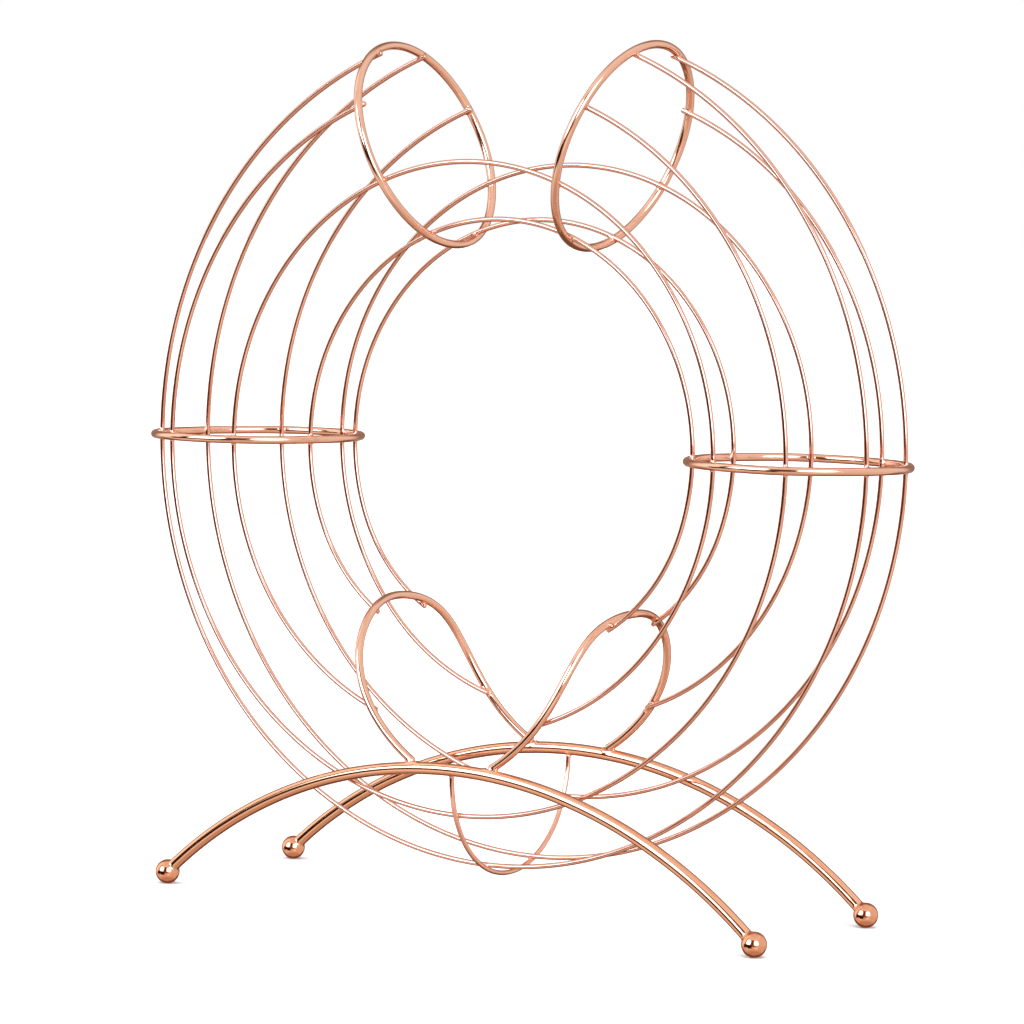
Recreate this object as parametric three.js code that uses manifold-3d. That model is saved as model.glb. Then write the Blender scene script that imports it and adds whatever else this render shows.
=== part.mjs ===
// A free-standing wire produce basket. Eight thin wires and four rings make a round cage, bent
// into a circle that is open at the top. Two hoops frame the way out at the bottom of the
// circle. A strap under the cage and the feet of the hoops join it to two arched rods, which
// stand on four balls.
//
// Millimetres, +Z up, +Y to the rear. The origin is on the floor under the middle.

import * as THREE from 'three';
import { mergeVertices } from 'three/addons/utils/BufferGeometryUtils.js';
import Module from 'manifold-3d';

const wasm = await Module();
wasm.setup();

const degrees = THREE.MathUtils.degToRad;

// The cage.
const MAIN_RADIUS = 155; // the circle that the middle of the cage follows
const CENTRE_HEIGHT = 222.5; // of that circle above the floor
const CAGE_RADIUS = 49.6; // the wires' centre lines, from the middle of the cage
const RING_RADIUS = 51.6; // the rings' centre lines: each ring is notched where a wire is welded
const WIRE_DIAMETER = 2.4;
const RING_DIAMETER = 4;
const WIRE_END = 3; // how far a wire runs past the centre line of its last ring or hoop
const WELD_GAP = 0.3; // clearance left where two pieces are welded

// Angles round the main circle, from straight up.
const MOUTH_RING_ANGLE = degrees(21.3);
const MID_RING_ANGLE = degrees(90.4);
const HOOP_TOP_ANGLE = degrees(138);
const HOOP_SPREAD = degrees(37); // from a hoop's top to where its legs would end underneath
const HOOP_BULGE = 6; // how far a hoop's legs stand off the cage, halfway down
const WIRE_FLARE = 60; // length over which the end of an inner wire curves out to its hoop

// Angles round the cage, from its outer side.
const HOOP_FOOT_ANGLE = degrees(94);
const STRAP_END_ANGLE = degrees(91);

// The stand.
const ARCH_RADIUS = 248;
const ARCH_CROWN = 71; // height of an arch's centre line at its middle
const ARCH_Y = 53; // from the middle to each arch
const ARCH_DIAMETER = 6;
const BALL_RADIUS = 6;
const BALL_FLAT_RADIUS = 1.5; // of the flat that each ball rests on

const BALL_HEIGHT = Math.sqrt(BALL_RADIUS ** 2 - BALL_FLAT_RADIUS ** 2);
const ARCH_HALF_ANGLE = Math.acos(1 - (ARCH_CROWN - BALL_HEIGHT) / ARCH_RADIUS);

// The hoops and the strap lie on the outside of the wires.
const HOOP_RADIUS = CAGE_RADIUS + (WIRE_DIAMETER + RING_DIAMETER) / 2 + WELD_GAP;
const STRAP_RADIUS = CAGE_RADIUS + WIRE_DIAMETER + WELD_GAP;

// The wires in turn round the cage, from its outer side over its rear.
const WIRE_PLACES = [
  'mid_rear', 'rear', 'rear', 'mid_rear',
  'mid_front', 'front', 'front', 'mid_front',
];

const COPPER = { color: 0xd98e70, roughness: 0.22, metalness: 1 };

// A smooth curve through space, from a function of 0 to 1.
class FormulaCurve extends THREE.Curve {
  constructor(pointAt) {
    super();
    this.pointAt = pointAt;
  }

  getPoint(t, target = new THREE.Vector3()) {
    return target.copy(this.pointAt(t));
  }
}

// A point on or inside the cage: its angle round the main circle, its angle round the cage,
// and its distance from the middle of the cage.
function cagePoint(mainAngle, cageAngle, distance) {
  const reach = MAIN_RADIUS + distance * Math.cos(cageAngle);
  return new THREE.Vector3(
    reach * Math.sin(mainAngle),
    distance * Math.sin(cageAngle),
    CENTRE_HEIGHT + reach * Math.cos(mainAngle),
  );
}

// Round wire of one diameter along a curve.
function bentWire(curve, diameter, steps) {
  const section = new THREE.Shape().absarc(0, 0, diameter / 2, 0, 2 * Math.PI);
  return new THREE.ExtrudeGeometry(section, { extrudePath: curve, steps, curveSegments: 4 });
}

function piece(name, geometry) {
  const mesh = new THREE.Mesh(geometry, new THREE.MeshStandardMaterial(COPPER));
  mesh.name = name;
  return mesh;
}

function toSolid(geometry) {
  const bare = geometry.clone();
  bare.deleteAttribute('normal');
  bare.deleteAttribute('uv');
  const welded = mergeVertices(bare);
  return new wasm.Manifold(new wasm.Mesh({
    numProp: 3,
    vertProperties: new Float32Array(welded.attributes.position.array),
    triVerts: new Uint32Array(welded.index.array),
  }));
}

function toGeometry(solid) {
  const { vertProperties, triVerts } = solid.getMesh();
  const geometry = new THREE.BufferGeometry();
  geometry.setAttribute('position', new THREE.BufferAttribute(vertProperties, 3));
  geometry.setIndex(new THREE.BufferAttribute(triVerts, 1));
  geometry.computeVertexNormals();
  return geometry;
}

// Cuts room for other pieces, given in the part's frame, out of a placed mesh.
function carve(mesh, cutters) {
  mesh.updateMatrix();
  const toMesh = mesh.matrix.clone().invert();
  let solid = toSolid(mesh.geometry);
  for (const cutter of cutters) {
    solid = solid.subtract(toSolid(cutter.clone().applyMatrix4(toMesh)));
  }
  mesh.geometry = toGeometry(solid);
  return mesh;
}

// A hoop lies on the cage. It leans along the main circle more and more towards its feet.
function hoopAngle(cageAngle) {
  const lean = (Math.PI - cageAngle) / (Math.PI / 2);
  return HOOP_TOP_ANGLE + HOOP_SPREAD * lean ** 2;
}

// How far a hoop stands off the cage: nothing at its top and its feet, and most between them.
function hoopBulge(cageAngle) {
  const down = (Math.PI - cageAngle) / (Math.PI - HOOP_FOOT_ANGLE);
  return HOOP_BULGE * Math.sin(Math.PI * down) ** 2;
}

// One of the eight wires. The outer four run under the cage from mouth to mouth. The inner
// four run over its top from hoop to hoop, and curve out to meet the hoops.
function wireGeometry(index, diameter) {
  const cageAngle = degrees(22.5 + 45 * index);
  const reach = MAIN_RADIUS + CAGE_RADIUS * Math.cos(cageAngle);
  const isOuter = reach > MAIN_RADIUS;
  const start = isOuter
    ? MOUTH_RING_ANGLE - WIRE_END / reach
    : -hoopAngle(cageAngle) - WIRE_END / reach;
  const end = isOuter ? 2 * Math.PI - start : -start;
  const flare = isOuter ? 0 : hoopBulge(cageAngle);
  const curve = new FormulaCurve((t) => {
    const mainAngle = THREE.MathUtils.lerp(start, end, t);
    const pastHoop = WIRE_END - reach * Math.min(mainAngle - start, end - mainAngle);
    const bend = Math.max(0, 1 + pastHoop / WIRE_FLARE);
    return cagePoint(mainAngle, cageAngle, CAGE_RADIUS + flare * bend ** 2);
  });
  return bentWire(curve, diameter, isOuter ? 48 : 52);
}

function makeWires() {
  return WIRE_PLACES.map((place, index) => {
    const side = Math.cos(degrees(22.5 + 45 * index)) > 0 ? 'outer' : 'inner';
    return piece(`${side}_wire_${place}`, wireGeometry(index, WIRE_DIAMETER));
  });
}

function makeRing(name, mainAngle, wireRoom) {
  const ring = piece(name, new THREE.TorusGeometry(RING_RADIUS, RING_DIAMETER / 2, 8, 36));
  ring.position.copy(cagePoint(mainAngle, 0, 0));
  ring.rotation.y = mainAngle + Math.PI / 2;
  return carve(ring, wireRoom);
}

// side is 1 for the right hoop and -1 for the left one.
function makeHoop(name, side, archRoom) {
  const curve = new FormulaCurve((t) => {
    const cageAngle = THREE.MathUtils.lerp(HOOP_FOOT_ANGLE, 2 * Math.PI - HOOP_FOOT_ANGLE, t);
    return cagePoint(side * hoopAngle(cageAngle), cageAngle, HOOP_RADIUS + hoopBulge(cageAngle));
  });
  return carve(piece(name, bentWire(curve, RING_DIAMETER, 32)), archRoom);
}

function makeStrap(archRoom) {
  const curve = new FormulaCurve((t) => {
    return cagePoint(Math.PI, THREE.MathUtils.lerp(-STRAP_END_ANGLE, STRAP_END_ANGLE, t), STRAP_RADIUS);
  });
  return carve(piece('cradle_strap', bentWire(curve, WIRE_DIAMETER, 24)), archRoom);
}

// side is 1 for the rear arch and -1 for the front one.
function archGeometry(side, diameter) {
  const curve = new FormulaCurve((t) => {
    const angle = THREE.MathUtils.lerp(-ARCH_HALF_ANGLE, ARCH_HALF_ANGLE, t);
    const drop = ARCH_RADIUS * (1 - Math.cos(angle));
    return new THREE.Vector3(ARCH_RADIUS * Math.sin(angle), side * ARCH_Y, ARCH_CROWN - drop);
  });
  return bentWire(curve, diameter, 28);
}

// A ball with a small flat underneath, turned about its own middle.
function ballGeometry(radius) {
  const flatAngle = Math.asin(BALL_FLAT_RADIUS / BALL_RADIUS);
  const outline = new THREE.Path().absarc(0, 0, radius, flatAngle - Math.PI / 2, Math.PI / 2);
  const profile = outline.getPoints(5);
  profile.unshift(new THREE.Vector2(0, profile[0].y));
  profile[profile.length - 1].x = 0;
  return new THREE.LatheGeometry(profile, 16).rotateX(Math.PI / 2);
}

function ballPosition(sideX, sideY) {
  const x = ARCH_RADIUS * Math.sin(ARCH_HALF_ANGLE);
  return new THREE.Vector3(sideX * x, sideY * ARCH_Y, BALL_HEIGHT);
}

function makeArch(name, sideY) {
  const ballRoom = [-1, 1].map((sideX) => {
    const { x, y, z } = ballPosition(sideX, sideY);
    return ballGeometry(BALL_RADIUS + WELD_GAP).translate(x, y, z);
  });
  return carve(piece(name, archGeometry(sideY, ARCH_DIAMETER)), ballRoom);
}

function makeBall(name, sideX, sideY) {
  const ball = piece(name, ballGeometry(BALL_RADIUS));
  ball.position.copy(ballPosition(sideX, sideY));
  return ball;
}

const wireRoom = WIRE_PLACES.map((place, index) => {
  return wireGeometry(index, WIRE_DIAMETER + 2 * WELD_GAP);
});
const archRoom = [-1, 1].map((side) => archGeometry(side, ARCH_DIAMETER + 2 * WELD_GAP));

const cage = new THREE.Group();
cage.add(
  ...makeWires(),
  makeRing('mouth_ring_left', -MOUTH_RING_ANGLE, wireRoom),
  makeRing('mouth_ring_right', MOUTH_RING_ANGLE, wireRoom),
  makeRing('mid_ring_left', -MID_RING_ANGLE, wireRoom),
  makeRing('mid_ring_right', MID_RING_ANGLE, wireRoom),
  makeHoop('access_hoop_left', -1, archRoom),
  makeHoop('access_hoop_right', 1, archRoom),
  makeStrap(archRoom),
);

const stand = new THREE.Group();
stand.add(
  makeArch('foot_arch_front', -1),
  makeArch('foot_arch_rear', 1),
  makeBall('ball_foot_front_left', -1, -1),
  makeBall('ball_foot_front_right', 1, -1),
  makeBall('ball_foot_rear_left', -1, 1),
  makeBall('ball_foot_rear_right', 1, 1),
);

const basket = new THREE.Group();
basket.add(cage, stand);

export default basket;
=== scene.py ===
"""Looks of the wire produce basket: every wire, ring, hoop, arch and ball again as fine metal,
melted into its neighbours where the real ones are welded, in copper plate with drawn lines.

Lengths are in millimetres until a mesh is made. +Z is up and +Y is the rear.
"""

import math
import random

import bmesh
import bpy
import numpy as np
from mathutils import Matrix, Vector


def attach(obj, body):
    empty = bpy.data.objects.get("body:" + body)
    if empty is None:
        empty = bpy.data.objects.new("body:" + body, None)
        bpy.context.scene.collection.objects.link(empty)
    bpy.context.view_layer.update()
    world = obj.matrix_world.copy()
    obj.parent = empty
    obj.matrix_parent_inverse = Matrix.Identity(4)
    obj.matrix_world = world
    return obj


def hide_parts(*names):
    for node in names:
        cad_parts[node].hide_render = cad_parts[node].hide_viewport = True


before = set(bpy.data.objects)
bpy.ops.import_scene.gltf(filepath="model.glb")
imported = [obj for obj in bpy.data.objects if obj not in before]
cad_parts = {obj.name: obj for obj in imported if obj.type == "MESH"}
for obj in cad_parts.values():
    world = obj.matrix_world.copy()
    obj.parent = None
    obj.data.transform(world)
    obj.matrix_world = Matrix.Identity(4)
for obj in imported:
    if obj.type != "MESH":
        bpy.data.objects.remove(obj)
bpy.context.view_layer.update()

MM = 0.001

# The cage, as in the CAD model.
MAIN_RADIUS = 155 # the circle that the middle of the cage follows
CENTRE_HEIGHT = 222.5 # of that circle above the floor
CAGE_RADIUS = 49.6 # the wires' centre lines, from the middle of the cage
RING_RADIUS = 51.6
WIRE_DIAMETER = 2.4
RING_DIAMETER = 4
WIRE_END = 3 # how far a wire runs past its last ring or hoop
HOOP_BULGE = 6 # how far a hoop's legs stand off the cage, halfway down
WIRE_FLARE = 60 # length over which the end of an inner wire curves out to its hoop

# Angles round the main circle, from straight up.
MOUTH_RING_ANGLE = math.radians(21.3)
MID_RING_ANGLE = math.radians(90.4)
HOOP_TOP_ANGLE = math.radians(138)
HOOP_SPREAD = math.radians(37) # from a hoop's top to where its legs would end underneath

# Angles round the cage, from its outer side.
HOOP_FOOT_ANGLE = math.radians(94)
STRAP_END_ANGLE = math.radians(91)
RING_SEAM_ANGLE = math.radians(2) # from the inner or outer side to where a ring's ends meet

# The wires in turn round the cage, from its outer side over its rear.
WIRE_PLACES = [
    "mid_rear", "rear", "rear", "mid_rear",
    "mid_front", "front", "front", "mid_front",
]
WIRE_ANGLES = [math.radians(22.5 + 45 * index) for index in range(len(WIRE_PLACES))]

# The stand, as in the CAD model.
ARCH_RADIUS = 248
ARCH_CROWN = 71 # height of an arch's centre line at its middle
ARCH_Y = 53 # from the middle to each arch
ARCH_DIAMETER = 6
BALL_RADIUS = 6
BALL_FLAT_RADIUS = 1.5 # of the flat that each ball rests on
BALL_HEIGHT = math.sqrt(BALL_RADIUS ** 2 - BALL_FLAT_RADIUS ** 2)
ARCH_HALF_ANGLE = math.acos(1 - (ARCH_CROWN - BALL_HEIGHT) / ARCH_RADIUS)

# Welding presses the hoops and the strap a little into the wires that they lie on.
WELD_SINK = 0.4
HOOP_RADIUS = CAGE_RADIUS + (WIRE_DIAMETER + RING_DIAMETER) / 2 - WELD_SINK
STRAP_RADIUS = CAGE_RADIUS + WIRE_DIAMETER - WELD_SINK

# The slow sideways waves that bending leaves in a wire.
WAVE_TURNS = (2, 3, 5, 8) # of each wave, along the whole wire
WAVE_SIZE = 0.12 # of the longest wave at its strongest; a shorter one is smaller in proportion
WAVE_LEAST = 0.4 # share of its strongest that a wave always has

# Steps along a wire.
ROUGH_SAMPLES = 400 # that its length is first estimated with
DENSE_STEP = 0.25 # of the samples that lengths and distances are measured with
FINE_STEP = 0.3 # between the rings of points close to a weld or an end
COARSE_STEP = 2.4 # and far from any
STEP_GROWTH = 0.16 # how fast the step grows away from a weld
FINE_REACH = 3.5 # where it starts to grow
MARK_STRIDE = 4 # dense samples to each one that marks a weld

# Points round a wire, by its slot.
SIDES = {"thin_wire": 20, "ring_wire": 28, "foot_rod": 36}

# The rounded end of a wire.
CAP_RINGS = 7
CAP_LENGTH = 0.6 # of the wire's radius

BALL_SUBDIVISIONS = 6 # of the icosphere that a ball is made from

# Where skins meet at a weld.
CONTACT = 0.6 # two skins closer than this are welded
WELD_REACH = 6 # how far from a weld a skin may be lifted
SEAM_SAMPLES = 12 # at least, that distances to a long seam are measured with
NEIGHBOUR_STRIDE = 3 # dense samples of a neighbour to each one that its skin is measured on
LIFT_START = -0.1 # a point is tried at heights from here, just under its skin,
LIFT_END = 1.8 # to here,
LIFT_STEP = 0.05 # one step at a time
LEAST_RISE = 0.000001 # keeps a division by a rise above zero
TUCK = 0.05 # how deep a skin dives under its neighbour's past the middle of the fillet
TUCK_BAND = 0.5 # over which it dives
HEAT_FALL = 2 # how fast the mark of a weld's heat fades over its reach

# The fillet between two wires grows with the thinner one's radius.
BLEND_LEAST = 0.4
BLEND_GROWTH = 0.5
BALL_BLEND = 0.9 # the fillet between an arch and a ball

# Metal thrown up round a weld. The spread and the widths are shares of the thinner radius.
LUMPS = 8
LUMP_HEIGHT = 0.16
LUMP_HEIGHT_SHARES = (-0.35, 1) # a lump of less than nothing is a hollow
LUMP_SPREAD = 0.75
LUMP_WIDTHS = (0.35, 0.8)


# ---------------------------------------------------------------- centre lines


def cage_point(main_angle, cage_angle, distance):
    """Points from angles round the main circle and round the cage, and from the cage's middle."""
    reach = MAIN_RADIUS + distance * np.cos(cage_angle)
    return np.stack([
        reach * np.sin(main_angle),
        distance * np.sin(cage_angle) * np.ones_like(main_angle),
        CENTRE_HEIGHT + reach * np.cos(main_angle),
    ], axis=-1)


def hoop_angle(cage_angle):
    """Angle round the main circle at which the right hoop passes an angle round the cage."""
    lean = (math.pi - cage_angle) / (math.pi / 2)
    return HOOP_TOP_ANGLE + HOOP_SPREAD * lean ** 2


def hoop_bulge(cage_angle):
    """How far a hoop stands off the cage: nothing at its top and its feet."""
    down = (math.pi - cage_angle) / (math.pi - HOOP_FOOT_ANGLE)
    return HOOP_BULGE * np.sin(math.pi * down) ** 2


def unit(vectors):
    return vectors / np.linalg.norm(vectors, axis=-1, keepdims=True)


def repeated(vector, count):
    """Rows of one vector."""
    return np.tile(vector, (count, 1))


class Line:
    """The centre line of a round wire. curve gives points and side gives a direction across the
    wire, both from values of 0 to 1."""

    def __init__(self, node, slot, diameter, curve, side, closed=False):
        self.node = node
        self.slot = slot
        self.radius = diameter / 2
        self.curve = curve
        self.side = side
        self.closed = closed
        self.waves = self.make_waves()
        self.measure()

    def make_waves(self):
        """Turns, size and phase of each slow wave, seeded by the node's name."""
        chance = random.Random(self.node)
        waves = []
        for turns in WAVE_TURNS:
            size = WAVE_SIZE * WAVE_TURNS[0] / turns * chance.uniform(WAVE_LEAST, 1)
            waves.append((turns, size, chance.uniform(0, 2 * math.pi)))
        return waves

    def at(self, t):
        shift = 0
        for turns, size, phase in self.waves:
            shift = shift + size * np.sin(2 * math.pi * turns * t + phase)
        return self.curve(t) + shift[:, None] * self.side(t)

    def measure(self):
        """Samples the line densely, and finds its length and the tangents there."""
        rough = self.at(np.linspace(0, 1, ROUGH_SAMPLES))
        length = np.linalg.norm(np.diff(rough, axis=0), axis=1).sum()
        self.ts = np.linspace(0, 1, int(length / DENSE_STEP) + 1)
        self.points = self.at(self.ts)
        steps = np.linalg.norm(np.diff(self.points, axis=0), axis=1)
        self.lengths = np.concatenate([[0], np.cumsum(steps)])
        self.length = self.lengths[-1]
        self.tangents = unit(np.gradient(self.points, axis=0))
        if self.closed:
            self.tangents[0] = self.tangents[-1] = unit(self.points[1] - self.points[-2])

    def frame(self, lengths):
        """Points, tangents and two directions across, at these lengths along the wire."""
        t = np.interp(lengths, self.lengths, self.ts)
        tangent = np.stack([np.interp(t, self.ts, column) for column in self.tangents.T], axis=1)
        tangent = unit(tangent)
        side = self.side(t)
        side = unit(side - (side * tangent).sum(axis=1, keepdims=True) * tangent)
        return self.at(t), tangent, side, np.cross(tangent, side)


def towards_rear(t):
    return repeated([0.0, 1.0, 0.0], len(t))


def wire_line(place, cage_angle):
    """An outer wire runs under the cage from mouth to mouth, an inner one over it between hoops."""
    reach = MAIN_RADIUS + CAGE_RADIUS * math.cos(cage_angle)
    is_outer = reach > MAIN_RADIUS
    if is_outer:
        start = MOUTH_RING_ANGLE - WIRE_END / reach
        end = 2 * math.pi - start
    else:
        start = -hoop_angle(cage_angle) - WIRE_END / reach
        end = -start
    flare = 0 if is_outer else hoop_bulge(cage_angle)

    def curve(t):
        main_angle = start + (end - start) * t
        past_hoop = WIRE_END - reach * np.minimum(main_angle - start, end - main_angle)
        bend = np.maximum(0, 1 + past_hoop / WIRE_FLARE)
        return cage_point(main_angle, cage_angle, CAGE_RADIUS + flare * bend ** 2)

    node = f"{'outer' if is_outer else 'inner'}_wire_{place}"
    return Line(node, "thin_wire", WIRE_DIAMETER, curve, towards_rear)


def ring_line(node, main_angle, seam_angle):
    """A ring of wire whose ends meet at seam_angle round the cage."""
    axis = np.array([math.cos(main_angle), 0, -math.sin(main_angle)])

    def curve(t):
        return cage_point(main_angle * np.ones_like(t), seam_angle + 2 * math.pi * t, RING_RADIUS)

    def side(t):
        return repeated(axis, len(t))

    return Line(node, "ring_wire", RING_DIAMETER, curve, side, closed=True)


def hoop_line(node, side_x):
    def at_distance(t, distance):
        cage_angle = HOOP_FOOT_ANGLE + (2 * math.pi - 2 * HOOP_FOOT_ANGLE) * t
        main_angle = side_x * hoop_angle(cage_angle)
        return cage_point(main_angle, cage_angle, distance + hoop_bulge(cage_angle))

    def curve(t):
        return at_distance(t, HOOP_RADIUS)

    def side(t):
        return unit(at_distance(t, HOOP_RADIUS + 1) - at_distance(t, HOOP_RADIUS))

    return Line(node, "ring_wire", RING_DIAMETER, curve, side)


def strap_line(node):
    def curve(t):
        cage_angle = STRAP_END_ANGLE * (2 * t - 1)
        return cage_point(math.pi * np.ones_like(t), cage_angle, STRAP_RADIUS)

    def side(t):
        return repeated([1.0, 0.0, 0.0], len(t))

    return Line(node, "thin_wire", WIRE_DIAMETER, curve, side)


def arch_line(node, side_y):
    def curve(t):
        angle = ARCH_HALF_ANGLE * (2 * t - 1)
        x = ARCH_RADIUS * np.sin(angle)
        z = ARCH_CROWN - ARCH_RADIUS * (1 - np.cos(angle))
        return np.stack([x, side_y * ARCH_Y * np.ones_like(t), z], axis=-1)

    return Line(node, "foot_rod", ARCH_DIAMETER, curve, towards_rear)


class Ball:
    """A ball foot. It has the same measures as a line of one point, so welds treat them alike."""

    def __init__(self, node, side_x, side_y):
        self.node = node
        self.slot = "foot_ball"
        self.radius = BALL_RADIUS
        x = side_x * ARCH_RADIUS * math.sin(ARCH_HALF_ANGLE)
        self.points = np.array([[x, side_y * ARCH_Y, BALL_HEIGHT]])
        self.tangents = np.zeros((1, 3))
        self.closed = True


def all_lines():
    lines = [wire_line(place, angle) for place, angle in zip(WIRE_PLACES, WIRE_ANGLES)]
    lines += [
        ring_line("mouth_ring_left", -MOUTH_RING_ANGLE, math.pi - RING_SEAM_ANGLE),
        ring_line("mouth_ring_right", MOUTH_RING_ANGLE, math.pi + RING_SEAM_ANGLE),
        ring_line("mid_ring_left", -MID_RING_ANGLE, RING_SEAM_ANGLE),
        ring_line("mid_ring_right", MID_RING_ANGLE, -RING_SEAM_ANGLE),
        hoop_line("access_hoop_left", -1),
        hoop_line("access_hoop_right", 1),
        strap_line("cradle_strap"),
        arch_line("foot_arch_front", -1),
        arch_line("foot_arch_rear", 1),
    ]
    return lines


def all_balls():
    balls = []
    for place_y, side_y in (("front", -1), ("rear", 1)):
        for place_x, side_x in (("left", -1), ("right", 1)):
            balls.append(Ball(f"ball_foot_{place_y}_{place_x}", side_x, side_y))
    return balls


# ---------------------------------------------------------------- welds


def gaps_to(points, targets):
    """Distance from each point to the nearest target."""
    return np.linalg.norm(points[:, None, :] - targets[None, :, :], axis=2).min(axis=1)


def distance_to_skin(other, nearby, points):
    """Distance from points to the skin of a wire or ball, measured on its samples nearby."""
    offsets = points[:, None, :] - other.points[nearby][None, :, :]
    nearest = np.linalg.norm(offsets, axis=2).argmin(axis=1)
    offset = offsets[np.arange(len(points)), nearest]
    index = nearby[nearest]
    tangent = other.tangents[index]
    along = (offset * tangent).sum(axis=1)
    if not other.closed:
        past_start = (index == 0) & (along < 0)
        past_end = (index == len(other.points) - 1) & (along > 0)
        along = np.where(past_start | past_end, 0, along)
    return np.linalg.norm(offset - along[:, None] * tangent, axis=1) - other.radius


class Weld:
    """Where two pieces meet: seam points on the first one, and lumps of metal about them."""

    def __init__(self, a, b, seam):
        self.pieces = (a, b)
        self.seam = seam
        self.contact = a.radius + b.radius + CONTACT
        thinner = min(a.radius, b.radius)
        self.blend = BALL_BLEND if isinstance(b, Ball) else BLEND_GROWTH * thinner + BLEND_LEAST
        chance = random.Random(f"{a.node} {b.node} {len(seam)}")
        places = [seam[chance.randrange(len(seam))] for _ in range(LUMPS)]
        wander = [[chance.gauss(0, LUMP_SPREAD * thinner) for _ in range(3)] for _ in range(LUMPS)]
        heights = [LUMP_HEIGHT * chance.uniform(*LUMP_HEIGHT_SHARES) for _ in range(LUMPS)]
        widths = [thinner * chance.uniform(*LUMP_WIDTHS) for _ in range(LUMPS)]
        self.lump_points = np.array(places) + np.array(wander)
        self.lump_heights = np.array(heights)
        self.lump_widths = np.array(widths)

    def other(self, piece):
        return self.pieces[1] if self.pieces[0] is piece else self.pieces[0]

    def lumps(self, points):
        """How much metal stands on the skin at these points."""
        gap = np.linalg.norm(points[:, None, :] - self.lump_points[None, :, :], axis=2)
        return (self.lump_heights * np.exp(-(gap / self.lump_widths) ** 2)).sum(axis=1)

    def seam_gaps(self, points):
        """Distances from points to the seam."""
        step = max(1, len(self.seam) // SEAM_SAMPLES)
        return gaps_to(points, self.seam[::step])


def find_welds(pieces):
    """Every place where the skins of two pieces touch."""
    welds = []
    for first, a in enumerate(pieces):
        for b in pieces[first + 1:]:
            for seam in find_seams(a, b):
                welds.append(Weld(a, b, seam))
    return welds


def find_seams(a, b):
    """The samples of one piece that touch another, as one group for each place."""
    reach = a.radius + b.radius + CONTACT
    low = b.points.min(axis=0) - reach
    high = b.points.max(axis=0) + reach
    inside = np.flatnonzero(((a.points > low) & (a.points < high)).all(axis=1))
    if not len(inside):
        return []
    touching = inside[gaps_to(a.points[inside], b.points) < reach]
    if not len(touching):
        return []
    breaks = np.flatnonzero(np.diff(touching) > WELD_REACH / DENSE_STEP) + 1
    return [a.points[group] for group in np.split(touching, breaks)]


def lift_for_weld(piece, weld, points, normals):
    """How far each point of a skin moves out to lie on the melted union of two pieces. It moves
    in small steps until it comes out of the union, or is lost under the neighbour's skin."""
    other = weld.other(piece)
    middle = weld.seam.mean(axis=0)
    spread = np.linalg.norm(weld.seam - middle, axis=1).max() + 2 * WELD_REACH
    nearby = np.flatnonzero(np.linalg.norm(other.points - middle, axis=1) < spread + other.radius)
    nearby = nearby[::NEIGHBOUR_STRIDE]
    lift = np.zeros(len(points))
    moving = np.arange(len(points))
    last_gap = np.zeros(len(points))
    for height in np.arange(LIFT_START, LIFT_END, LIFT_STEP):
        moved = points[moving] + height * normals[moving]
        theirs = distance_to_skin(other, nearby, moved)
        closeness = np.clip(1 - np.abs(height - theirs) / weld.blend, 0, 1)
        union = np.minimum(height, theirs) - closeness ** 2 * weld.blend / 4 - weld.lumps(moved)
        past_middle = height - theirs
        gap = union + TUCK * np.clip(past_middle / TUCK_BAND, 0, 1)
        reached = gap >= 0
        lost = ~reached & (past_middle > TUCK_BAND)
        rise = np.maximum(gap - last_gap, LEAST_RISE)
        overshoot = np.where(gap > last_gap, gap / rise, 0)
        lift[moving[reached]] = height - LIFT_STEP * np.clip(overshoot[reached], 0, 1)
        lift[moving[lost]] = max(height - 2 * LIFT_STEP, 0)
        still = ~reached & ~lost
        last_gap = gap[still]
        moving = moving[still]
        if not len(moving):
            break
    return lift


def melt(piece, welds, points, normals):
    """Lifts a skin round the piece's welds. Also gives how hot each point was at them, 0 to 1."""
    lift = np.zeros(len(points))
    touched = np.zeros(len(points), bool)
    heat = np.zeros(len(points))
    for weld in welds:
        if piece not in weld.pieces:
            continue
        gap = weld.seam_gaps(points)
        heat = np.maximum(heat, np.exp(-(gap / WELD_REACH) ** 2 * HEAT_FALL))
        close = np.flatnonzero(gap < WELD_REACH)
        if not len(close):
            continue
        found = lift_for_weld(piece, weld, points[close], normals[close])
        lift[close] = np.where(touched[close], np.maximum(lift[close], found), found)
        touched[close] = True
    return points + lift[:, None] * normals, heat


# ---------------------------------------------------------------- meshes


def stations(line, welds):
    """Lengths along a wire at which its skin gets a ring of points, close together at welds."""
    marks = [] if line.closed else [0.0, line.length]
    for weld in welds:
        if line in weld.pieces:
            gap = gaps_to(line.points, weld.seam[::MARK_STRIDE])
            marks.extend(line.lengths[gap < weld.contact][::MARK_STRIDE])
            marks.append(line.lengths[gap.argmin()])
    marks = np.array(marks)
    places = [0.0]
    while places[-1] < line.length:
        away = np.abs(marks - places[-1])
        if line.closed:
            away = np.minimum(away, line.length - away)
        step = FINE_STEP + STEP_GROWTH * max(0.0, away.min() - FINE_REACH)
        places.append(places[-1] + min(step, COARSE_STEP))
    places = np.array(places)
    return places * (line.length / places[-1])


def full_rings(line, count):
    """Four rows for the rings of points between a wire's ends: how far each ring lies along the
    wire from its station, its radius, and its normals' share along the wire and across it."""
    return np.stack([np.zeros(count), np.full(count, line.radius), np.zeros(count), np.ones(count)])


def cap_rings(line, sign):
    """The same four rows for the rings that round off the start, -1, or the end, 1, of a wire."""
    angles = np.linspace(math.pi / 2, 0, CAP_RINGS, endpoint=False)
    rows = np.stack([
        sign * line.radius * CAP_LENGTH * np.sin(angles),
        line.radius * np.cos(angles),
        sign * np.sin(angles),
        np.cos(angles),
    ])
    return rows if sign < 0 else rows[:, ::-1]


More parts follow.
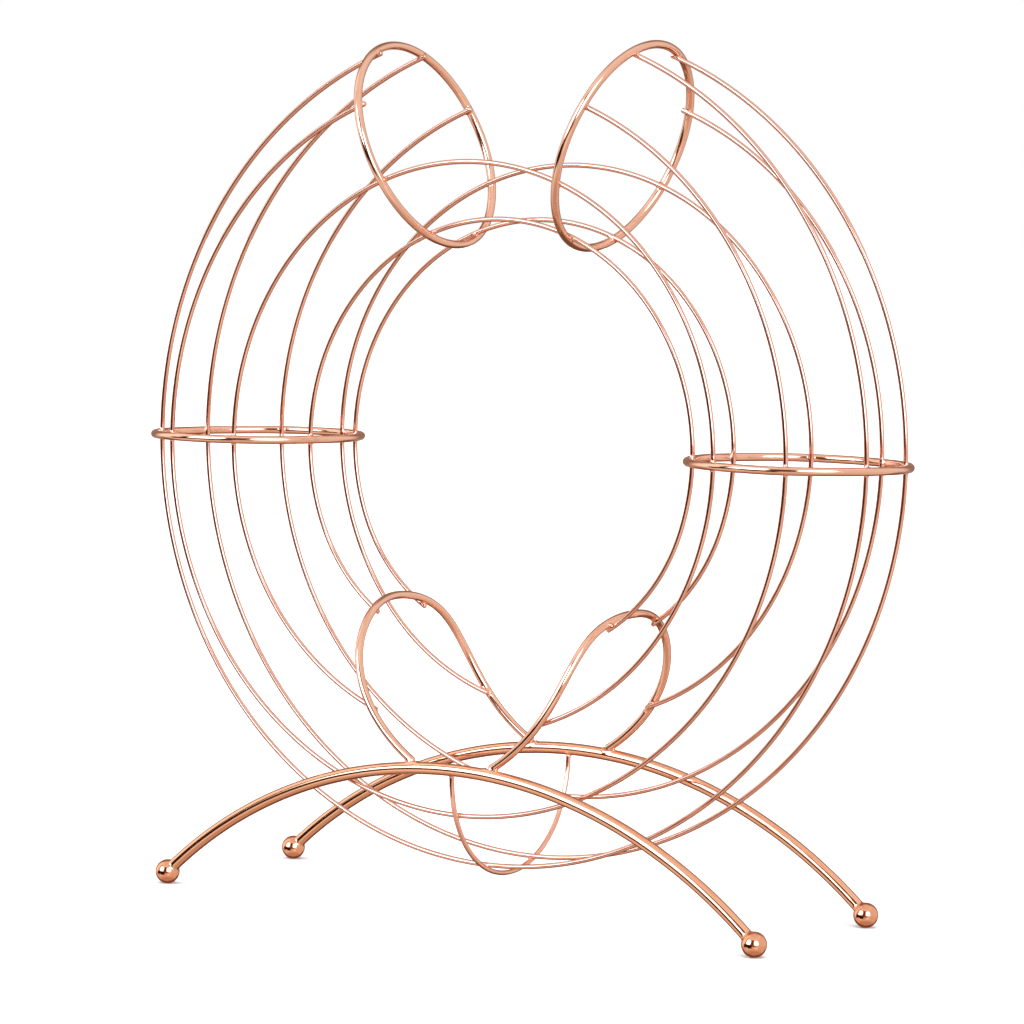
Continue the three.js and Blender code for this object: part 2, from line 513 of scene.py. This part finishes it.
def skin_points(line, welds, sides):
    """Rings of points along a wire, with their outward normals and their place on the wire."""
    lengths = stations(line, welds)
    if line.closed:
        lengths = lengths[:-1]
        rings = full_rings(line, len(lengths))
    else:
        inset = line.radius * CAP_LENGTH
        lengths = np.clip(lengths, inset, line.length - inset)
        lengths = lengths[np.concatenate([[True], np.diff(lengths) > FINE_STEP / 4])]
        between_ends = full_rings(line, len(lengths))
        rings = np.concatenate([cap_rings(line, -1), between_ends, cap_rings(line, 1)], axis=1)
        lengths = np.pad(lengths, CAP_RINGS, mode="edge")
    along, radius, lean, out = rings
    middle, tangent, side, over = line.frame(lengths)
    middle = middle + along[:, None] * tangent
    angles = np.arange(sides) * 2 * math.pi / sides
    cosines = np.cos(angles)
    sines = np.sin(angles)
    spokes = side[:, None, :] * cosines[:, None] + over[:, None, :] * sines[:, None]
    points = middle[:, None, :] + radius[:, None, None] * spokes
    normals = unit(out[:, None, None] * spokes + lean[:, None, None] * tangent[:, None, :])
    lay = np.stack([
        repeated(cosines, len(lengths)) * line.radius,
        repeated(sines, len(lengths)) * line.radius,
        np.tile((lengths + along)[:, None], (1, sides)),
    ], axis=-1)
    return points.reshape(-1, 3), normals.reshape(-1, 3), lay.reshape(-1, 3), len(lengths)


def skin_faces(ring_count, sides, closed):
    """Quads between the rings, and one face that closes each pole of an open wire."""
    faces = []
    last = ring_count if closed else ring_count - 1
    for ring in range(last):
        here = ring * sides
        there = (ring + 1) % ring_count * sides
        for k in range(sides):
            after = (k + 1) % sides
            faces.append((here + k, here + after, there + after, there + k))
    if not closed:
        end = (ring_count - 1) * sides
        faces.append(tuple(reversed(range(sides))))
        faces.append(tuple(end + k for k in range(sides)))
    return faces


def shown_object(node, points, faces, lay, heat, material):
    """A smooth mesh. It carries each point's place on its wire, lay, and its heat at the welds."""
    mesh = bpy.data.meshes.new(f"{node}_plated")
    mesh.from_pydata((points * MM).tolist(), [], faces)
    mesh.polygons.foreach_set("use_smooth", [True] * len(mesh.polygons))
    mesh.attributes.new("lay", "FLOAT_VECTOR", "POINT").data.foreach_set("vector", lay.ravel())
    mesh.attributes.new("heat", "FLOAT", "POINT").data.foreach_set("value", heat)
    mesh.materials.append(material)
    mesh.update()
    piece = bpy.data.objects.new(f"{node}_plated", mesh)
    bpy.context.scene.collection.objects.link(piece)
    return piece


def wire_object(line, welds, sides, material):
    points, normals, lay, ring_count = skin_points(line, welds, sides)
    points, heat = melt(line, welds, points, normals)
    faces = skin_faces(ring_count, sides, line.closed)
    return shown_object(line.node, points, faces, lay, heat, material)


def ball_object(ball, welds, material):
    """A ball with a flat underneath, fine enough for the collar of weld round its rod."""
    source = bmesh.new()
    bmesh.ops.create_icosphere(source, subdivisions=BALL_SUBDIVISIONS, radius=1)
    normals = np.array([v.co for v in source.verts])
    faces = [tuple(v.index for v in face.verts) for face in source.faces]
    source.free()
    points = ball.points[0] + normals * ball.radius
    points, heat = melt(ball, welds, points, normals)
    points[:, 2] = np.maximum(points[:, 2], 0)
    lay = normals * ball.radius
    return shown_object(ball.node, points, faces, lay, heat, material)


# ---------------------------------------------------------------- materials


# Patterns of the plate: how many waves to a millimetre. ALONG or AROUND is how much slower a
# pattern changes that way than the other.
DRAWN_SCALE = 5.0 # lines that the drawing die left
DRAWN_ALONG = 0.02
DRIFT_SCALE = 0.045 # slow drift of tone
DRIFT_AROUND = 0.4
MOTTLE_SCALE = 0.9
NICK_SCALE = 1.7
NICK_ALONG = 0.6

# Where a pattern starts to count and where it counts in full.
DRAWN_RANGE = (0.3, 0.7)
DRIFT_RANGE = (0.35, 0.65)
NICK_RANGE = (0.73, 0.78) # only the highest peaks are nicks
PATCH_RANGE = (0.3, 0.7) # of the mottle, for patches in the stain of a weld
STAIN_RANGE = (0.35, 1.0) # of the heat, for the stain of a weld
GRAIN_RANGE = (0.3, 1.0) # of the heat, for the coarser metal of a weld

# How strongly each one shows.
DRIFT_TONE = 0.4
MOTTLE_TONE = 0.2
STAIN_TONES = (0.15, 0.5) # between its patches and in them
STAIN_COLOUR = (0.42, 0.25, 0.19, 1)
STAIN_ROUGHNESS = 0.18
NICK_ROUGHNESS = 0.12
NICK_DEPTH = 1.2
GRAIN_DEPTHS = (0.25, 2.0) # of the mottle, on clean wire and on a weld
SMOOTHEST = -0.03 # change of roughness between the drawn lines
ROUGHEST = 0.05 # and on them
BUMP_STRENGTH = 0.35
BUMP_DISTANCE = 0.00003 # metres


class Graph:
    """Short ways to add nodes to a material or world."""

    def __init__(self, tree):
        self.tree = tree
        tree.nodes.clear()

    def node(self, kind, inputs=None, **settings):
        node = self.tree.nodes.new(kind)
        for name, value in settings.items():
            setattr(node, name, value)
        for name, value in (inputs or {}).items():
            self.put(value, node.inputs[name])
        return node

    def put(self, value, socket):
        if isinstance(value, bpy.types.NodeSocket):
            self.tree.links.new(value, socket)
        else:
            socket.default_value = value

    def finish(self, kind, source):
        """Links a shader or background node to an output node of this kind."""
        output = self.node(kind)
        self.put(source.outputs[0], output.inputs["Surface"])

    def math(self, operation, a, b=0.0):
        return self.node("ShaderNodeMath", {0: a, 1: b}, operation=operation).outputs[0]

    def add_share(self, total, part, share):
        return self.math("ADD", total, self.math("MULTIPLY", part, share))

    def ramp(self, value, low, high, to_low=0.0, to_high=1.0):
        """A smooth step from to_low, below low, to to_high, above high."""
        inputs = {
            "Value": value, "From Min": low, "From Max": high, "To Min": to_low, "To Max": to_high,
        }
        return self.node("ShaderNodeMapRange", inputs, interpolation_type="SMOOTHSTEP").outputs[0]

    def noise(self, vector, scale, detail):
        inputs = {"Vector": vector, "Scale": scale, "Detail": detail}
        return self.node("ShaderNodeTexNoise", inputs).outputs["Fac"]

    def stretched(self, vector, around, along):
        """Places on a wire, scaled round it and along it."""
        inputs = {0: vector, 1: (around, around, along)}
        return self.node("ShaderNodeVectorMath", inputs, operation="MULTIPLY").outputs[0]

    def mix(self, factor, a, b):
        """A colour between two others. A mix node keeps its sockets for colours at these places."""
        node = self.node("ShaderNodeMix", data_type="RGBA")
        self.put(factor, node.inputs[0])
        self.put(a, node.inputs[6])
        self.put(b, node.inputs[7])
        return node.outputs[2]


def plated_metal(name, colour, deep_colour, roughness, line_depth):
    """Copper plate over drawn steel: lines along the wire, a slow drift of tone, a few nicks, and
    darker, rougher metal round each weld. Sizes are in millimetres of the lay attribute."""
    material = bpy.data.materials.new(name)
    material.use_nodes = True
    graph = Graph(material.node_tree)
    lay = graph.node("ShaderNodeAttribute", attribute_name="lay").outputs["Vector"]
    heat = graph.node("ShaderNodeAttribute", attribute_name="heat").outputs["Fac"]

    drawn = graph.noise(graph.stretched(lay, 1, DRAWN_ALONG), DRAWN_SCALE, detail=3.0)
    drift = graph.noise(graph.stretched(lay, DRIFT_AROUND, 1), DRIFT_SCALE, detail=3.0)
    mottle = graph.noise(lay, MOTTLE_SCALE, detail=4.0)
    peaks = graph.noise(graph.stretched(lay, 1, NICK_ALONG), NICK_SCALE, detail=1.0)
    nicks = graph.ramp(peaks, *NICK_RANGE)
    patches = graph.ramp(mottle, *PATCH_RANGE, *STAIN_TONES)
    stain = graph.math("MULTIPLY", graph.ramp(heat, *STAIN_RANGE), patches)

    tone = graph.math("MULTIPLY", graph.ramp(drift, *DRIFT_RANGE), DRIFT_TONE)
    tone = graph.add_share(tone, mottle, MOTTLE_TONE)
    plate = graph.mix(tone, colour, deep_colour)
    stained = graph.mix(stain, plate, STAIN_COLOUR)

    rough = graph.ramp(drawn, *DRAWN_RANGE, roughness + SMOOTHEST, roughness + ROUGHEST)
    rough = graph.add_share(rough, stain, STAIN_ROUGHNESS)
    rough = graph.add_share(rough, nicks, NICK_ROUGHNESS)

    relief = graph.math("MULTIPLY", drawn, line_depth)
    relief = graph.add_share(relief, nicks, -NICK_DEPTH)
    relief = graph.add_share(relief, mottle, graph.ramp(heat, *GRAIN_RANGE, *GRAIN_DEPTHS))
    bump = graph.node("ShaderNodeBump", {
        "Height": relief, "Strength": BUMP_STRENGTH, "Distance": BUMP_DISTANCE,
    })

    shader = graph.node("ShaderNodeBsdfPrincipled", {
        "Base Color": stained, "Metallic": 1.0, "Roughness": rough, "Normal": bump.outputs[0],
    })
    graph.finish("ShaderNodeOutputMaterial", shader)
    return material


def thin_wire_metal():
    return plated_metal(
        "plated_thin_wire",
        colour=(0.94, 0.52, 0.39, 1),
        deep_colour=(0.89, 0.44, 0.30, 1),
        roughness=0.08,
        line_depth=0.3,
    )


def ring_wire_metal():
    return plated_metal(
        "plated_ring_wire",
        colour=(0.96, 0.56, 0.40, 1),
        deep_colour=(0.92, 0.49, 0.33, 1),
        roughness=0.09,
        line_depth=0.3,
    )


def foot_rod_metal():
    return plated_metal(
        "plated_foot_rod",
        colour=(0.96, 0.52, 0.33, 1),
        deep_colour=(0.92, 0.45, 0.26, 1),
        roughness=0.08,
        line_depth=0.25,
    )


def foot_ball_metal():
    return plated_metal(
        "plated_foot_ball",
        colour=(0.92, 0.44, 0.27, 1),
        deep_colour=(0.87, 0.38, 0.20, 1),
        roughness=0.07,
        line_depth=0.15,
    )


# ---------------------------------------------------------------- studio


CAMERA_PLACE = Vector((1134.46, -1747.35, 337.36)) * MM
CAMERA_YAW = math.radians(33.05)
CAMERA_PITCH = math.radians(4.021)
CAMERA_ROLL = math.radians(1.101)
CAMERA_LENS = 152.3
CAMERA_CLIP = 50 # metres, past the farthest corner of the floor

FLOOR_REACH = 30 # metres to each side
FLOOR_DROP = 0.0001 # metres, so that the floor and the flats of the balls don't share a plane
FLOOR_TONES = ((0.90, 0.895, 0.885, 1), (0.93, 0.925, 0.92, 1))
FLOOR_MOTTLE = 3.0 # waves to a metre

# Light from each part of the studio, as the metal sees it.
WHITE = (1.0, 1.0, 1.0, 1)
SOFTBOX = (3.6, 4.6, 5.8)
MIRRORED_SOFTBOX = (1.15, 1.08, 1.02)
LEFT_WALL = (1.25, 1.20, 1.15)
RIGHT_WALL = (0.86, 0.84, 0.83)
CEILING = (0.90, 0.86, 0.84)
ROOM_BEHIND = (0.32, 0.22, 0.17)
TABLE = (0.80, 0.72, 0.66)
TABLE_CLOSE = (0.58, 0.44, 0.35)
TABLE_BEHIND = (0.20, 0.10, 0.06)
GAP_BETWEEN = (0.16, 0.08, 0.05)
GAP_UNDER = (0.30, 0.16, 0.10)
DARK = (0.03, 0.008, 0.003)

SOFTBOX_POWER = 4.0 # 2 would be an oval, and a high power a rectangle
SOFTBOX_EDGE = (0.75, 1.15) # where a softbox's edge starts and ends to fade, by that power

OVERHEAD_SPREAD = math.radians(50)
OVERHEAD_STRENGTH = 2.2
OVERHEAD_TILT = (math.radians(8), math.radians(6), 0)


def make_camera():
    camera = bpy.data.objects.new("camera", bpy.data.cameras.new("camera"))
    camera.data.lens = CAMERA_LENS
    camera.data.clip_end = CAMERA_CLIP
    level = math.cos(CAMERA_PITCH)
    forward_x = -math.sin(CAMERA_YAW) * level
    forward_y = math.cos(CAMERA_YAW) * level
    forward = Vector((forward_x, forward_y, -math.sin(CAMERA_PITCH)))
    right = forward.cross(Vector((0, 0, 1))).normalized()
    up = right.cross(forward)
    rolled_right = math.cos(CAMERA_ROLL) * right + math.sin(CAMERA_ROLL) * up
    rolled_up = -math.sin(CAMERA_ROLL) * right + math.cos(CAMERA_ROLL) * up
    turn = Matrix((rolled_right, rolled_up, -forward)).transposed()
    camera.matrix_world = Matrix.Translation(CAMERA_PLACE) @ turn.to_4x4()
    bpy.context.scene.collection.objects.link(camera)
    bpy.context.scene.camera = camera


def floor_material():
    material = bpy.data.materials.new("pale_floor")
    material.use_nodes = True
    graph = Graph(material.node_tree)
    place = graph.node("ShaderNodeTexCoord").outputs["Object"]
    colour = graph.mix(graph.noise(place, FLOOR_MOTTLE, detail=3.0), *FLOOR_TONES)
    shader = graph.node("ShaderNodeBsdfPrincipled", {
        "Base Color": colour, "Roughness": 0.9, "Specular IOR Level": 0.0,
    })
    graph.finish("ShaderNodeOutputMaterial", shader)
    return material


def make_floor():
    """A pale floor. The metal sees the studio's table in its place."""
    corners = [(x * FLOOR_REACH, y * FLOOR_REACH, 0) for x, y in ((-1, -1), (1, -1), (1, 1), (-1, 1))]
    mesh = bpy.data.meshes.new("floor")
    mesh.from_pydata(corners, [], [(0, 1, 2, 3)])
    mesh.materials.append(floor_material())
    floor = bpy.data.objects.new("floor", mesh)
    floor.location.z = -FLOOR_DROP
    floor.visible_glossy = False
    bpy.context.scene.collection.objects.link(floor)


class Studio:
    """The light that comes from each direction, built up by painting patches over each other.
    Directions are in degrees. The azimuth is 0 towards the camera and grows to the camera's right,
    and the height is from level."""

    def __init__(self, graph):
        self.graph = graph
        self.direction = graph.node("ShaderNodeTexCoord").outputs["Generated"]
        front = self.towards(math.sin(CAMERA_YAW), -math.cos(CAMERA_YAW), 0)
        right = self.towards(math.cos(CAMERA_YAW), math.sin(CAMERA_YAW), 0)
        self.azimuth = graph.math("ARCTAN2", right, front)
        self.height = graph.math("ARCSINE", self.towards(0, 0, 1))
        self.light = WHITE

    def towards(self, x, y, z):
        """How much of a direction lies along this one."""
        inputs = {0: self.direction, 1: (x, y, z)}
        node = self.graph.node("ShaderNodeVectorMath", inputs, operation="DOT_PRODUCT")
        return node.outputs["Value"]

    def paint(self, mask, colour):
        self.light = self.graph.mix(mask, self.light, (*colour, 1))

    def patch(self, colour, azimuths, heights, edge=3):
        """Paints a rectangle of directions, with a soft edge."""
        def step(angle, place, before, after):
            low = math.radians(place - edge)
            high = math.radians(place + edge)
            return self.graph.ramp(angle, low, high, before, after)

        mask = step(self.azimuth, azimuths[0], 0.0, 1.0)
        mask = self.graph.math("MULTIPLY", mask, step(self.azimuth, azimuths[1], 1.0, 0.0))
        mask = self.graph.math("MULTIPLY", mask, step(self.height, heights[0], 0.0, 1.0))
        mask = self.graph.math("MULTIPLY", mask, step(self.height, heights[1], 1.0, 0.0))
        self.paint(mask, colour)

    def softbox(self, azimuth, height, half_width, half_height):
        """Paints a softbox, a rectangle with round corners and a soft edge."""
        def distance(angle, middle, half):
            from_middle = self.graph.math("SUBTRACT", angle, math.radians(middle))
            share = self.graph.math("DIVIDE", from_middle, math.radians(half))
            return self.graph.math("POWER", share, SOFTBOX_POWER)

        across = distance(self.azimuth, azimuth, half_width)
        upwards = distance(self.height, height, half_height)
        total = self.graph.math("ADD", across, upwards)
        self.paint(self.graph.ramp(total, *SOFTBOX_EDGE, 1.0, 0.0), SOFTBOX)


def make_studio():
    """A white studio with two softboxes in front, dark gaps beside, between and under them, pale
    walls and a warm table, which the metal reflects. The camera sees plain white instead."""
    world = bpy.data.worlds.new("studio")
    bpy.context.scene.world = world
    world.use_nodes = True
    graph = Graph(world.node_tree)
    studio = Studio(graph)
    all_round = (-200, 200)
    studio.patch(RIGHT_WALL, (36, 150), (-20, 50), 8)
    studio.patch(LEFT_WALL, (-150, -92), (-20, 60), 5)
    studio.patch(TABLE, all_round, (-100, -8), 3)
    studio.patch(TABLE_CLOSE, all_round, (-100, -48), 12)
    studio.patch(TABLE_BEHIND, (120, 200), (-78, -20), 10)
    studio.patch(TABLE_BEHIND, (-200, -120), (-78, -20), 10)
    studio.patch(MIRRORED_SOFTBOX, (-76, -42), (-34, -20), 5)
    studio.patch(MIRRORED_SOFTBOX, (0, 30), (-32, -15), 5)
    studio.patch(CEILING, all_round, (62, 100), 8)
    studio.patch(ROOM_BEHIND, (134, 200), (-20, 60), 14)
    studio.patch(ROOM_BEHIND, (-200, -134), (-20, 60), 14)
    studio.patch(DARK, (-89, -80), (-6, 50)) # left of the softboxes
    studio.patch(GAP_BETWEEN, (-38, -5), (-12, 46))
    studio.patch(GAP_UNDER, (-26, 14), (-11, 2), 4)
    studio.patch(DARK, (-104, -24), (-18, 3)) # under the left softbox
    studio.patch(DARK, (-65, -26), (-27, 0)) # and deeper towards the middle
    studio.softbox(-57, 24, 22, 18)
    studio.softbox(16, 20, 20, 19)

    seen = graph.node("ShaderNodeLightPath").outputs["Is Camera Ray"]
    light = graph.mix(seen, studio.light, WHITE)
    background = graph.node("ShaderNodeBackground", {"Color": light, "Strength": 1.0})
    graph.finish("ShaderNodeOutputWorld", background)


def make_overhead_light():
    """Lifts the floor to white and leaves a soft shadow close to the feet."""
    lamp = bpy.data.lights.new("overhead", "SUN")
    lamp.angle = OVERHEAD_SPREAD
    lamp.energy = OVERHEAD_STRENGTH
    light = bpy.data.objects.new("overhead", lamp)
    light.rotation_euler = OVERHEAD_TILT
    light.visible_glossy = False
    bpy.context.scene.collection.objects.link(light)


# ---------------------------------------------------------------- the basket


def finish_piece(piece, source):
    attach(piece, "root")
    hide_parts(source.node)


def make_basket():
    metals = {
        "thin_wire": thin_wire_metal(),
        "ring_wire": ring_wire_metal(),
        "foot_rod": foot_rod_metal(),
        "foot_ball": foot_ball_metal(),
    }
    lines = all_lines()
    balls = all_balls()
    welds = find_welds(lines + balls)
    for line in lines:
        finish_piece(wire_object(line, welds, SIDES[line.slot], metals[line.slot]), line)
    for ball in balls:
        finish_piece(ball_object(ball, welds, metals[ball.slot]), ball)


make_camera()
make_floor()
make_studio()
make_overhead_light()
make_basket()
bpy.context.scene.view_settings.view_transform = "Standard"
